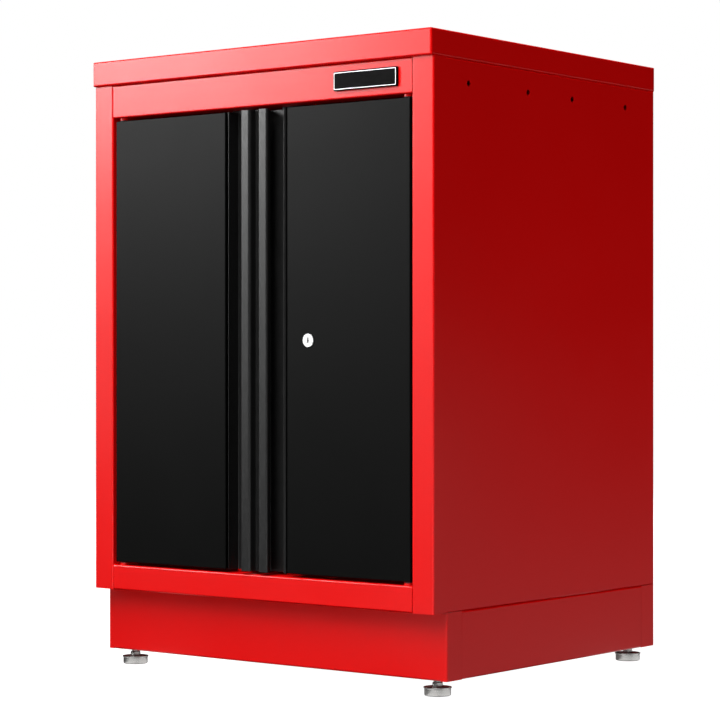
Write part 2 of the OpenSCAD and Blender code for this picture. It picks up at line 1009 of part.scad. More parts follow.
module upright(y) {
    near = wall_x - mid_t;
    far = near - upright_d;
    difference() {
        along_z(floor_z, upright_z1)
            folded([
                [near, y - upright_w / 2 - upright_lug],
                [near, y - upright_w / 2],
                [far, y - upright_w / 2],
                [far, y + upright_w / 2],
                [near, y + upright_w / 2],
                [near, y + upright_w / 2 + upright_lug]
            ], body_t);
        for (i = [0 : slot_count - 1])
            block(
                [far - lap / 2, y - slot_w / 2, slot_z0 + i * slot_pitch],
                [far + lap / 2, y + slot_w / 2, slot_z0 + i * slot_pitch + slot_l]
            );
    }
}

module shelf_uprights() {
    color(zinc)
        both_sides() {
            upright(upright_front_y);
            upright(upright_rear_y);
        }
}

module shelf_clip(y) {
    hook_w = slot_w - 2 * hook_play;
    slot_low = clip_z + clip_drop;
    block(
        [upright_face - clip_t, y - clip_w / 2, clip_z],
        [upright_face, y + clip_w / 2, clip_z + clip_tab_h]
    );
    block(
        [upright_face - clip_ledge, y - clip_w / 2, clip_z],
        [upright_face, y + clip_w / 2, clip_z + clip_t]
    );
    block(
        [upright_face - clip_t, y - hook_w / 2, slot_low + hook_play],
        [upright_face + clip_hook, y + hook_w / 2, slot_low + slot_l - hook_short]
    );
}

module shelf_clips() {
    color(zinc)
        both_sides() {
            shelf_clip(upright_front_y);
            shelf_clip(upright_rear_y);
        }
}

// Doors

module door_skin() {
    difference() {
        sheet_box([skin_x0, face_y, door_z0], [door_x1, liner_y0, door_z1], door_edge_r, door_t);
        block(
            [skin_x0 + door_lip_w, liner_y0 - lap / 2, door_z0 + door_lip_w],
            [door_x1 - door_lip_w, liner_y0 + lap, door_z1 - door_lip_w]
        );
        for (z = [door_z0, door_z1])
            translate([pivot_x, pivot_y, 0])
                bar_z(bush_r + running, z - lap / 2, z + lap / 2);
    }
}

module door_liner() {
    difference() {
        block(
            [pull_x0 + liner_in, liner_y0, door_z0 + liner_in],
            [door_x1 - liner_in, liner_y1, door_z1 - liner_in]
        );
        for (z = pull_screw_zs())
            translate([pull_screw_x, 0, z])
                bar_y(pull_screw_d / 2 + fit, liner_y0 - over, liner_y1 + over);
    }
}

function pull_screw_zs() = [
    for (i = [0 : pull_screw_count - 1]) door_z0 + door_h * (i + 0.5) / pull_screw_count
];

// The fillet in a corner whose walls run to +X or -X and to -Y
module corner_fillet(corner, side) {
    translate(corner)
        difference() {
            translate([side > 0 ? 0 : -recess_r, -recess_r])
                square(recess_r);
            translate([side * recess_r, -recess_r])
                circle(r = recess_r);
        }
}

// The section of a pull: lip wall, recess floor, web, hollow meeting edge and turned-over grip
module pull_section() {
    half_t = pull_t / 2;
    floor_y = liner_y0 - pull_t;
    translate([pull_x1 - pull_t, face_y])
        polygon([[0, 0], [lip_edge, 0], [pull_t, lip_taper], [pull_t, skin_d], [0, skin_d]]);
    translate([pull_x0, floor_y])
        square([pull_w, pull_t]);
    translate([web_x, grip_y + grip_r])
        square([pull_t, liner_y0 - grip_y - grip_r]);
    translate([pull_x0, chamber_y])
        square([web_in + pull_t, pull_t]);
    translate([pull_x0, chamber_y])
        square([pull_t, chamber_d]);
    corner_fillet([web_x + pull_t, floor_y], 1);
    corner_fillet([pull_x1 - pull_t, floor_y], -1);
    bend([web_x + half_t, grip_y + half_t], [0, -1], [1, 0], pull_t, grip_r - half_t);
    translate([web_x + grip_r, grip_y])
        square([grip_w - grip_r - curl_r, pull_t]);
    bend([grip_x1 - half_t, grip_y + half_t], [1, 0], [0, 1], pull_t, curl_r - half_t);
    translate([grip_x1 - pull_t, grip_y + curl_r])
        square([pull_t, curl_d - curl_r]);
    translate([grip_x1 - half_t, grip_y + curl_d])
        circle(r = half_t - bead_step);
}

module door_pull() {
    difference() {
        along_z(door_z0, door_z1)
            pull_section();
        for (z = pull_screw_zs())
            translate([pull_screw_x, 0, z])
                bar_y(pull_screw_d / 2 + fit, liner_y0 - pull_t - over, liner_y0 + over);
    }
}

module pull_screws() {
    for (z = pull_screw_zs())
        translate([pull_screw_x, 0, z]) {
            bar_y(pull_screw_head_d / 2, liner_y1, liner_y1 + pull_screw_head_h);
            bar_y(pull_screw_d / 2, liner_y0 - pull_t, liner_y1 + pull_screw_head_h / 2);
        }
}

module hinge_bush(z0, outward) {
    depth = pin_reach + bush_spare;
    translate([pivot_x, pivot_y, z0])
        mirror([0, 0, outward > 0 ? 1 : 0])
            difference() {
                union() {
                    bar_z(bush_flange_r, -bush_flange_t, 0);
                    bar_z(bush_r, -bush_flange_t / 2, depth);
                }
                bar_z(pin_d / 2 + pin_clear, -bush_flange_t - over, depth + over);
            }
}

module hinge_bushes() {
    hinge_bush(door_z0, -1);
    hinge_bush(door_z1, 1);
}

module catch_strike() {
    top_z = door_z1 - strike_in;
    block(
        [catch_x - strike_w / 2, liner_y1, top_z - strike_h],
        [catch_x + strike_w / 2, liner_y1 + strike_t, top_z]
    );
}

module door_skin_left() {
    color(black)
        mirror([1, 0, 0])
            door_skin();
}

module door_liner_left() {
    color(black)
        mirror([1, 0, 0])
            door_liner();
}

module door_pull_left() {
    color(black)
        mirror([1, 0, 0])
            door_pull();
}

module pull_screws_left() {
    color(zinc)
        mirror([1, 0, 0])
            pull_screws();
}

module hinge_bushes_left() {
    color(nylon)
        mirror([1, 0, 0])
            hinge_bushes();
}

module catch_strike_left() {
    color(zinc)
        mirror([1, 0, 0])
            catch_strike();
}

// The hook on the left door that the lock's tongue slides behind
module latch_keeper() {
    half_t = keeper_t / 2;
    color(zinc)
        along_x(-keeper_x - keeper_w, -keeper_x)
            folded([
                [liner_y1 + half_t, keeper_shelf_z + keeper_base_h],
                [liner_y1 + half_t, keeper_shelf_z + half_t],
                [keeper_lip_y + half_t, keeper_shelf_z + half_t],
                [keeper_lip_y + half_t, lock_z - tongue_w / 2]
            ], keeper_t);
}

module door_skin_right() {
    color(black)
        difference() {
            door_skin();
            translate([lock_x, 0, lock_z])
                bar_y(lock_barrel_d / 2 + fit, face_y - over, face_y + lap);
        }
}

module door_liner_right() {
    color(black)
        difference() {
            door_liner();
            translate([lock_x, 0, lock_z])
                bar_y(lock_barrel_d / 2 + fit, liner_y0 - over, liner_y1 + over);
        }
}

module door_pull_right() {
    color(black)
        door_pull();
}

module pull_screws_right() {
    color(zinc)
        pull_screws();
}

module hinge_bushes_right() {
    color(nylon)
        hinge_bushes();
}

module catch_strike_right() {
    color(zinc)
        catch_strike();
}

// Lock and latch

module lock_body() {
    color(nickel)
        translate([lock_x, 0, lock_z])
            difference() {
                union() {
                    bar_y(lock_face_d / 2, face_y - lock_proud + lock_edge, face_y);
                    translate([0, face_y - lock_proud, 0])
                        rotate([-90, 0, 0])
                            cylinder(r1 = lock_face_d / 2 - lock_edge, r2 = lock_face_d / 2, h = lock_edge);
                    bar_y(lock_barrel_d / 2, face_y - lock_proud / 2, barrel_end);
                }
                bar_y(plug_d / 2 + running, face_y - lock_proud - over, barrel_end + over);
            }
}

module lock_nut() {
    y0 = face_y + door_t;
    color(zinc)
        translate([lock_x, 0, lock_z])
            difference() {
                translate([0, y0, 0])
                    rotate([-90, 0, 0])
                        hex_z(lock_nut_af, 0, lock_nut_h);
                bar_y(lock_barrel_d / 2 + running, y0 - over, y0 + lock_nut_h + over);
            }
}

module lock_plug() {
    front = face_y - lock_proud;
    slot_depth = 10;
    color(nickel)
        translate([lock_x, 0, lock_z])
            difference() {
                union() {
                    bar_y(plug_d / 2, front, cam_y0);
                    bar_y(spigot_r, cam_y0 - over, cam_y1);
                }
                block(
                    [-key_slot_w / 2, front - over, -key_slot_l / 2],
                    [key_slot_w / 2, front + slot_depth, key_slot_l / 2]
                );
                bar_y(cam_screw_d / 2 + fit, cam_y1 - lap, cam_y1 + over);
            }
}

// The cam at rest: tongue down, one drive pin low on the left and one high on the right
module latch_cam() {
    color(zinc)
        translate([lock_x, 0, lock_z]) {
            difference() {
                along_y(cam_y0, cam_y1) {
                    circle(r = cam_r);
                    translate([-tongue_w / 2, -tongue_l + tongue_w / 2])
                        square([tongue_w, tongue_l - tongue_w / 2]);
                    translate([0, -tongue_l + tongue_w / 2])
                        circle(d = tongue_w);
                }
                bar_y(spigot_r + running, cam_y0 - over, cam_y1 + over);
            }
            for (side = [-1, 1])
                translate([side * crank_near, 0, side * crank_rest])
                    bar_y(crank_pin_d / 2, cam_y1 - cam_t / 2, rod_y1 + crank_pin_out);
        }
}

module cam_screw() {
    head_y = cam_y1 + cam_washer_t;
    color(zinc)
        translate([lock_x, 0, lock_z]) {
            bar_y(cam_screw_head_r + cam_washer_w, cam_y1, head_y);
            bar_y(cam_screw_head_r, cam_y1 + cam_washer_t / 2, head_y + cam_screw_head_h);
            bar_y(cam_screw_d / 2, cam_y1 - lap + over, cam_y1 + cam_washer_t / 2);
        }
}

// A rod with the slotted end that a drive pin lifts, drawn about the lock's axis, running up
module latch_rod() {
    pad_x0 = rod_slot_x0 - rod_wall;
    pad_x1 = rod_slot_x1 + rod_wall;
    along_y(rod_y0, rod_y1)
        difference() {
            union() {
                translate([-pad_x1, -crank_rest - rod_pad_h / 2])
                    square([pad_x1 - pad_x0, rod_pad_h]);
                translate([-rod_x - rod_w / 2, -crank_rest])
                    square([rod_w, rod_l]);
            }
            translate([-rod_slot_x1, -crank_rest - rod_slot_h / 2])
                square([rod_slot_x1 - rod_slot_x0, rod_slot_h]);
        }
}

module latch_rod_upper() {
    color(zinc)
        translate([lock_x, 0, lock_z])
            latch_rod();
}

module latch_rod_lower() {
    color(zinc)
        translate([lock_x, 0, lock_z])
            rotate([0, 180, 0])
                latch_rod();
}

// A strap on the door's liner that a rod slides through
module rod_guide(x, z) {
    slot_x = rod_w / 2 + rest_gap;
    difference() {
        block(
            [x - guide_w / 2, liner_y1, z - guide_h / 2],
            [x + guide_w / 2, rod_y1 + rest_gap + guide_cap, z + guide_h / 2]
        );
        block(
            [x - slot_x, rod_y0 - rest_gap, z - guide_h],
            [x + slot_x, rod_y1 + rest_gap, z + guide_h]
        );
    }
}

module rod_guides() {
    color(zinc) {
        for (z = [lock_z + guide_near, door_z1 - guide_far])
            rod_guide(lock_x - rod_x, z);
        for (z = [lock_z - guide_near, door_z0 + guide_far])
            rod_guide(lock_x + rod_x, z);
    }
}

side_panel_left();
side_panel_right();
back_panel();
floor_panel();
top_rail();
bottom_rail();
worktop();
worktop_stiffeners();
worktop_bolts();
plinth_front();
plinth_rear();
plinth_side_left();
plinth_side_right();
plinth_bolts();
foot_plates();
foot_nuts();
hinge_brackets();
hinge_pins();
shelf();
shelf_uprights();
shelf_clips();
catch_housings();
catch_magnets();
door_stops();
door_bumpers();
door_skin_left();
door_liner_left();
door_pull_left();
pull_screws_left();
hinge_bushes_left();
catch_strike_left();
latch_keeper();
door_skin_right();
door_liner_right();
door_pull_right();
pull_screws_right();
hinge_bushes_right();
catch_strike_right();
lock_body();
lock_nut();
rod_guides();
lock_plug();
latch_cam();
cam_screw();
latch_rod_upper();
latch_rod_lower();
foot_pad(-foot_x, foot_front_y);  // foot_pad_front_left
foot_stem(-foot_x, foot_front_y);  // foot_stem_front_left
foot_pad(foot_x, foot_front_y);  // foot_pad_front_right
foot_stem(foot_x, foot_front_y);  // foot_stem_front_right
foot_pad(-foot_x, foot_rear_y);  // foot_pad_rear_left
foot_stem(-foot_x, foot_rear_y);  // foot_stem_rear_left
foot_pad(foot_x, foot_rear_y);  // foot_pad_rear_right
foot_stem(foot_x, foot_rear_y);  // foot_stem_rear_right
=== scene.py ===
import json
import math

import bmesh
import bpy
from mathutils import Matrix, Vector


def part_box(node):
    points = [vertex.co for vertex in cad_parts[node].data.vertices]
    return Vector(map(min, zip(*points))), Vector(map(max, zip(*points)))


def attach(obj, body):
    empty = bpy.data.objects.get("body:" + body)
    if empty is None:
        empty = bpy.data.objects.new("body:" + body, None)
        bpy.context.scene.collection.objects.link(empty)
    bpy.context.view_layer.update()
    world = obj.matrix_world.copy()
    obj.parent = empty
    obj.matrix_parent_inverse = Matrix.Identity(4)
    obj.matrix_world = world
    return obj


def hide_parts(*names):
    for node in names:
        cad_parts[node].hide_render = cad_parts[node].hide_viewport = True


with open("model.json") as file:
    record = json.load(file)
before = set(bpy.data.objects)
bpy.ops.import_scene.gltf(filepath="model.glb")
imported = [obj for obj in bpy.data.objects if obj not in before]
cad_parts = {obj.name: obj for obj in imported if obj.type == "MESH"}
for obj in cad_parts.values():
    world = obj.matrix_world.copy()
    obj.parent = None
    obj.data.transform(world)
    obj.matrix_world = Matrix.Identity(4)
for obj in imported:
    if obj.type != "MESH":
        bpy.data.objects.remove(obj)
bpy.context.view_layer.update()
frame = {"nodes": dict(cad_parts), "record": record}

MM = 0.001
NODES = frame["nodes"]
SLOT_OF = {part["node"]: part["material_slot"] for part in frame["record"]["subparts"]}
CORNERS = ("front_left", "front_right", "rear_left", "rear_right")


# Materials

NOISE_LOW = 0.3  # the part of a noise's range that colours and roughness are spread over
NOISE_HIGH = 0.7


class Shader:
    """A node tree around one Principled shader, with object coordinates in metres."""

    def __init__(self, name, **sockets):
        self.material = bpy.data.materials.new(name)
        self.material.use_nodes = True
        self.tree = self.material.node_tree
        self.principled = self.tree.nodes["Principled BSDF"]
        self.place = self.add("ShaderNodeTexCoord").outputs["Object"]
        for socket, value in sockets.items():
            self.principled.inputs[socket.replace("_", " ")].default_value = value

    def add(self, kind, **inputs):
        node = self.tree.nodes.new(kind)
        for key, value in inputs.items():
            node.inputs[key.replace("_", " ")].default_value = value
        return node

    def link(self, source, target):
        self.tree.links.new(source, target)

    def stretched(self, scale):
        node = self.add("ShaderNodeMapping", Scale=scale)
        self.link(self.place, node.inputs["Vector"])
        return node.outputs["Vector"]

    def noise(self, scale, detail=2.0, rough=0.5, vector=None):
        node = self.add("ShaderNodeTexNoise", Scale=scale, Detail=detail, Roughness=rough)
        self.link(vector or self.place, node.inputs["Vector"])
        return node.outputs["Fac"]

    def ramp(self, factor, stops):
        node = self.add("ShaderNodeValToRGB")
        elements = node.color_ramp.elements
        while len(elements) < len(stops):
            elements.new(0.5)
        for element, (position, color) in zip(elements, stops):
            element.position = position
            element.color = (*color, 1.0)
        self.link(factor, node.inputs["Fac"])
        return node.outputs["Color"]

    def spread(self, factor, low, high):
        node = self.add("ShaderNodeMapRange", From_Min=NOISE_LOW, From_Max=NOISE_HIGH, To_Min=low, To_Max=high)
        node.interpolation_type = "SMOOTHERSTEP"
        self.link(factor, node.inputs["Value"])
        return node.outputs["Result"]

    def color(self, factor, stops):
        self.link(self.ramp(factor, stops), self.principled.inputs["Base Color"])

    def rough(self, factor, low, high):
        self.link(self.spread(factor, low, high), self.principled.inputs["Roughness"])

    def bump(self, *layers):
        """Each layer is a height from 0 to 1 and its depth in metres."""
        normal = None
        for height, depth in layers:
            node = self.add("ShaderNodeBump", Strength=1.0, Distance=depth)
            self.link(height, node.inputs["Height"])
            if normal:
                self.link(normal, node.inputs["Normal"])
            normal = node.outputs["Normal"]
        self.link(normal, self.principled.inputs["Normal"])


def spaced(colors):
    """Colours spaced evenly over the range of a noise."""
    step = (NOISE_HIGH - NOISE_LOW) / (len(colors) - 1)
    return [(NOISE_LOW + step * i, color) for i, color in enumerate(colors)]


def shades(color, *factors):
    """The same colour at several brightnesses."""
    return spaced([[c * f for c in color] for f in factors])


def tinted(color, tints):
    """The same colour in several tints."""
    return spaced([[c * t for c, t in zip(color, tint)] for tint in tints])


def powder_coat(name, color, rough, peel, peel_depth, specular):
    """Baked powder coat: an orange peel with a finer grain, and faint drifts of shade."""
    swing = 0.012
    shader = Shader(name, Specular_IOR_Level=specular)
    shader.color(shader.noise(4.5, 3.0), shades(color, 0.985, 1.0, 1.012))
    shader.rough(shader.noise(9.0), rough - swing, rough + swing)
    shader.bump((shader.noise(peel), peel_depth), (shader.noise(peel * 5), peel_depth * 0.12))
    return shader.material


def plated(name, color, tints, rough, grain, depth):
    """Plated metal with a directional grain, given by its scale on each axis."""
    shader = Shader(name, Metallic=1.0)
    shader.color(shader.noise(160.0, 3.0, 0.6), tinted(color, tints))
    lines = shader.noise(1.0, 3.0, 0.6, shader.stretched(grain))
    shader.rough(lines, rough * 0.8, rough * 1.2)
    shader.bump((lines, depth))
    return shader.material


def moulded(name, color, rough, grain, depth, specular=0.5):
    """Plastic, rubber or a satin coat with an even fine grain."""
    swing = 0.06
    shader = Shader(name, Specular_IOR_Level=specular)
    shader.color(shader.noise(90.0, 3.0), shades(color, 0.85, 1.0, 1.1))
    shader.rough(shader.noise(300.0), rough - swing, rough + swing)
    shader.bump((shader.noise(grain), depth))
    return shader.material


ZINC_TINTS = [(0.94, 0.98, 1.03), (1.0, 1.0, 1.0), (1.03, 1.0, 0.95)]
EVEN_TINTS = [(0.97, 0.97, 0.97), (1.0, 1.0, 1.0), (1.02, 1.02, 1.02)]
LENGTHWISE = (700.0, 700.0, 90.0)
TURNED = (8.0, 8.0, 2600.0)
FACED = (2200.0, 8.0, 2200.0)
MATERIALS = {
    "red_paint": powder_coat(
        "red_paint", (0.74, 0.0015, 0.0015), rough=0.29, peel=420.0, peel_depth=0.004 * MM, specular=0.45
    ),
    "black_paint": powder_coat(
        "black_paint", (0.0016, 0.0017, 0.0016), rough=0.385, peel=900.0, peel_depth=0.006 * MM, specular=0.093
    ),
    "black_pull": moulded("black_pull", (0.010, 0.010, 0.010), rough=0.34, grain=900.0, depth=0.004 * MM),
    "zinc_steel": plated(
        "zinc_steel", (0.60, 0.61, 0.62), ZINC_TINTS, rough=0.34, grain=LENGTHWISE, depth=0.006 * MM
    ),
    "nickel": plated("nickel", (0.74, 0.73, 0.71), EVEN_TINTS, rough=0.3, grain=TURNED, depth=0.008 * MM),
    "lock_chrome": plated(
        "lock_chrome", (0.90, 0.90, 0.90), EVEN_TINTS, rough=0.5, grain=FACED, depth=0.002 * MM
    ),
    "badge_black": moulded(
        "badge_black", (0.0025, 0.0025, 0.0025), rough=0.5, grain=1600.0, depth=0.006 * MM, specular=0.04
    ),
    "nylon": moulded("nylon", (0.03, 0.03, 0.032), rough=0.5, grain=1800.0, depth=0.01 * MM),
    "rubber": moulded("rubber", (0.018, 0.018, 0.018), rough=0.75, grain=1200.0, depth=0.02 * MM),
}
for name, node in NODES.items():
    node.data.materials.clear()
    node.data.materials.append(MATERIALS[SLOT_OF[name]])


# Tools for the pieces that the scene makes itself

WELD = 0.001 * MM


def finish_mesh(name, bm, material, body, sharp_deg=35.0):
    """The object made from a bmesh, shaded smooth up to an angle, riding on a body."""
    bmesh.ops.remove_doubles(bm, verts=bm.verts, dist=WELD)
    bmesh.ops.recalc_face_normals(bm, faces=bm.faces)
    mesh = bpy.data.meshes.new(name)
    bm.to_mesh(mesh)
    bm.free()
    mesh.polygons.foreach_set("use_smooth", [True] * len(mesh.polygons))
    mesh.set_sharp_from_angle(angle=math.radians(sharp_deg))
    mesh.materials.append(MATERIALS[material])
    piece = bpy.data.objects.new(name, mesh)
    bpy.context.scene.collection.objects.link(piece)
    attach(piece, body)
    return piece


def ring(bm, radii, z):
    """A closed ring of vertices, one for each radius, at a height."""
    step = 2 * math.pi / len(radii)
    return [bm.verts.new((r * math.cos(i * step), r * math.sin(i * step), z)) for i, r in enumerate(radii)]


def skin(bm, rings, capped=True):
    """Joins rings of equal length into a wall, with a face at each end."""
    for low, high in zip(rings, rings[1:]):
        for i in range(len(low)):
            j = (i + 1) % len(low)
            bm.faces.new((low[i], low[j], high[j], high[i]))
    if capped:
        bm.faces.new(list(reversed(rings[0])))
        bm.faces.new(rings[-1])


# Threaded foot stems

STEM_R = 5.0 * MM
STEM_ROOT_R = 4.15 * MM
STEM_PITCH = 1.5 * MM
CREST_EDGE_R = STEM_R - 0.06 * MM
THREAD_PROFILE = (STEM_ROOT_R, STEM_ROOT_R, CREST_EDGE_R, STEM_R, CREST_EDGE_R)
SPARE_TURNS = 3
SHANK_R = 3.95 * MM
HEX_AF = 13.0 * MM
HEX_H = 8.0 * MM
HEX_EDGE = 1.0 * MM
HEX_TOP_R = HEX_AF / 2 - 0.3 * MM
HEX_EDGE_STEPS = 5
HEX_LOW = 9.7 * MM
AROUND = 36


def hex_radius(i):
    """The hexagon's radius at one of the points around it; its corners lie on the X axis."""
    turn = (2 * math.pi * i / AROUND) % (math.pi / 3) - math.pi / 6
    return HEX_AF / 2 / math.cos(turn)


def threaded_rod(bm, low, high):
    """A rod with a helical thread, cut square at both ends."""
    per_turn = len(THREAD_PROFILE)
    turns = math.ceil((high - low) / STEM_PITCH) + SPARE_TURNS
    rows = []
    for k in range(turns * per_turn):
        z0 = low - STEM_PITCH + k * STEM_PITCH / per_turn
        r = THREAD_PROFILE[k % per_turn]
        row = []
        for i in range(AROUND):
            a = 2 * math.pi * i / AROUND
            row.append(bm.verts.new((r * math.cos(a), r * math.sin(a), z0 + STEM_PITCH * i / AROUND)))
        rows.append(row)
    for k in range(len(rows) - 1):
        for i in range(AROUND - 1):
            bm.faces.new((rows[k][i], rows[k][i + 1], rows[k + 1][i + 1], rows[k + 1][i]))
        if k + per_turn + 1 < len(rows):
            bm.faces.new((rows[k][-1], rows[k + per_turn][0], rows[k + per_turn + 1][0], rows[k + 1][-1]))
    for height, normal in ((low, -1), (high, 1)):
        bmesh.ops.bisect_plane(
            bm,
            geom=[*bm.verts, *bm.edges, *bm.faces],
            plane_co=(0, 0, height),
            plane_no=(0, 0, normal),
            clear_outer=True,
        )
    loose = [v for v in bm.verts if not v.link_faces]
    bmesh.ops.delete(bm, geom=loose, context="VERTS")
    bmesh.ops.edgeloop_fill(bm, edges=[e for e in bm.edges if len(e.link_faces) == 1])


def foot_stem(corner):
    """The levelling screw: plain shank, chamfered hexagon and thread."""
    node = f"foot_stem_{corner}"
    low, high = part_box(node)
    bm = bmesh.new()
    threaded_rod(bm, HEX_LOW + HEX_H / 2, high.z)
    shank = [SHANK_R] * AROUND
    corners = [hex_radius(i) for i in range(AROUND)]
    rings = [ring(bm, shank, low.z), ring(bm, shank, HEX_LOW), ring(bm, corners, HEX_LOW)]
    for k in range(HEX_EDGE_STEPS + 1):
        share = k / HEX_EDGE_STEPS
        cone = max(corners) * (1 - share) + HEX_TOP_R * share
        rings.append(ring(bm, [min(r, cone) for r in corners], HEX_LOW + HEX_H - HEX_EDGE * (1 - share)))
    skin(bm, rings)
    centre = (low + high) / 2
    bmesh.ops.translate(bm, verts=bm.verts, vec=(centre.x, centre.y, 0))
    piece = finish_mesh(f"levelling_screw_{corner}", bm, "nickel", f"stem_{corner}", 30.0)
    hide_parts(node)


for corner in CORNERS:
    foot_stem(corner)


# Pan-head screws that hold the pulls

SCREW_COUNT = 6
SCREW_HEAD_R = 3.5 * MM
SCREW_HEAD_H = 2.0 * MM
SCREW_RIM_H = 0.9 * MM
SCREW_SHANK_R = 1.75 * MM
SCREW_AROUND = 32
DOME_STEPS = 5
CROSS_ARM = 1.75 * MM
CROSS_HALF = 0.45 * MM
CROSS_DEPTH = 1.1 * MM
CROSS_TAPER = 0.8
CROSS_LAND = 0.25 * MM
FIRST_TURN = 17  # degrees that the first recess is turned, and each one more than the last
NEXT_TURN = 41


def pan_screw(bm, shank_l):
    """A screw along +Z with its head's seat at z = 0 and a cross recess in the dome."""
    shank = [SCREW_SHANK_R] * SCREW_AROUND
    rings = [ring(bm, shank, -shank_l), ring(bm, shank, 0), ring(bm, [SCREW_HEAD_R] * SCREW_AROUND, 0)]
    flat_r = CROSS_ARM + CROSS_LAND
    for k in range(DOME_STEPS + 1):
        a = math.pi / 2 * k / DOME_STEPS
        r = flat_r + (SCREW_HEAD_R - flat_r) * math.cos(a)
        rings.append(ring(bm, [r] * SCREW_AROUND, SCREW_RIM_H + (SCREW_HEAD_H - SCREW_RIM_H) * math.sin(a)))
    skin(bm, rings, capped=False)
    bm.faces.new(list(reversed(rings[0])))
    h, arm = CROSS_HALF, CROSS_ARM
    quarter = [(h, -arm), (h, -h), (arm, -h)]
    outline = []
    for _ in range(4):
        outline += quarter
        quarter = [(-y, x) for x, y in quarter]
    count = len(outline)
    top = [bm.verts.new((x, y, SCREW_HEAD_H)) for x, y in outline]
    floor = SCREW_HEAD_H - CROSS_DEPTH
    bottom = [bm.verts.new((x * CROSS_TAPER, y * CROSS_TAPER, floor)) for x, y in outline]
    edges = [bm.edges.new((top[i], top[(i + 1) % count])) for i in range(count)]
    rim = rings[-1]
    edges += [bm.edges.get((rim[i], rim[(i + 1) % SCREW_AROUND])) for i in range(SCREW_AROUND)]
    bmesh.ops.triangle_fill(bm, edges=edges, use_beauty=True)
    for i in range(count):
        j = (i + 1) % count
        bm.faces.new((top[i], top[j], bottom[j], bottom[i]))
    bm.faces.new(bottom)


def pull_screws(side):
    """The row of screws on the back of one door."""
    node = f"pull_screws_{side}"
    low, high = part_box(node)
    pitch = (high.z - low.z - 2 * SCREW_HEAD_R) / (SCREW_COUNT - 1)
    seat = high.y - SCREW_HEAD_H
    bm = bmesh.new()
    for i in range(SCREW_COUNT):
        one = bmesh.new()
        pan_screw(one, seat - low.y)
        turn = Matrix.Rotation(math.radians(FIRST_TURN + NEXT_TURN * i), 4, "Z")
        aim = Matrix.Rotation(math.radians(-90), 4, "X")
        spot = Matrix.Translation(((low.x + high.x) / 2, seat, low.z + SCREW_HEAD_R + i * pitch))
        one.transform(spot @ aim @ turn)
        scratch = bpy.data.meshes.new("screw")
        one.to_mesh(scratch)
        one.free()
        bm.from_mesh(scratch)
        bpy.data.meshes.remove(scratch)
    piece = finish_mesh(f"pan_screws_{side}", bm, "zinc_steel", f"{side}_door", 30.0)
    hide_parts(node)


pull_screws("left")
pull_screws("right")


# Badge, left bare

BADGE_LOW = Vector((140.4, 0.0, 801.9)) * MM
BADGE_HIGH = Vector((247.4, 0.0, 827.6)) * MM
BADGE_T = 4.0 * MM
BADGE_RIM = 1.5 * MM  # from the plate's edge to the border
BADGE_LINE = 0.9 * MM  # the border's width
BADGE_INNER = BADGE_RIM + BADGE_LINE
LINE_PROUD = 0.25 * MM
LINE_SUNK = 0.2 * MM
OUTER_R = 1.4 * MM
INNER_R = 0.9 * MM
badge_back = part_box("top_rail")[0].y
badge_front = badge_back - BADGE_T


def rounded_outline(low, high, inset, r, steps=5):
    """Points of a rectangle with rounded corners, in x and z."""
    points = []
    spots = ((high.x, high.z, 0), (low.x, high.z, 90), (low.x, low.z, 180), (high.x, low.z, 270))
    for x, z, start in spots:
        cx = x - math.copysign(inset + r, x - (low.x + high.x) / 2)
        cz = z - math.copysign(inset + r, z - (low.z + high.z) / 2)
        for k in range(steps + 1):
            a = math.radians(start + 90 * k / steps)
            points.append((cx + r * math.cos(a), cz + r * math.sin(a)))
    return points


def badge_loops(bm, layers):
    """Loops of vertices round the badge, from (inset, corner radius, y) rows."""
    loops = []
    for inset, r, y in layers:
        outline = rounded_outline(BADGE_LOW, BADGE_HIGH, inset, r)
        loops.append([bm.verts.new((x, y, z)) for x, z in outline])
    return loops


def badge_plate():
    """The plate, with a rounded front edge and a face that is sunk inside the border."""
    bm = bmesh.new()
    layers = [
        (0.0, 2.2 * MM, badge_back),
        (0.0, 2.2 * MM, badge_front + 0.7 * MM),
        (0.2 * MM, 2.0 * MM, badge_front + 0.25 * MM),
        (0.7 * MM, 1.6 * MM, badge_front),
        (BADGE_INNER, INNER_R, badge_front),
        (BADGE_INNER + 0.3 * MM, 0.7 * MM, badge_front + 0.35 * MM),
    ]
    skin(bm, badge_loops(bm, layers))
    finish_mesh("badge_plate", bm, "badge_black", "cabinet")


def badge_border():
    """The pale line round the plate, a little proud of it."""
    bm = bmesh.new()
    seat, face = badge_front + LINE_SUNK, badge_front - LINE_PROUD
    layers = [
        (BADGE_RIM, OUTER_R, seat),
        (BADGE_RIM, OUTER_R, face),
        (BADGE_INNER, INNER_R, face),
        (BADGE_INNER, INNER_R, seat),
    ]
    loops = badge_loops(bm, layers)
    skin(bm, [*loops, loops[0]], capped=False)
    finish_mesh("badge_border", bm, "lock_chrome", "cabinet")


badge_plate()
badge_border()


# Stage: floor, world and lights

FLOOR_HALF = 40.0
FLOOR_Z = -20.5 * MM  # under the feet's lowest reach, so that the pads show at every pose
CARD_Z = -0.6 * MM
SHADE_Z = -0.9 * MM
SHADE_LOW = (-0.305, -0.245)
SHADE_HIGH = (0.305, 0.277)
CARD = 90.0 * MM
INSIDE = 2.0 * MM  # from the plinth's outside to the card of painted shade in it
SEEN_WHITE = 1.0
GLOW = 1.15


def hide_from(thing, *rays):
    """Keeps an object out of what some kinds of ray meet."""
    for ray in rays:
        setattr(thing, f"visible_{ray}", False)


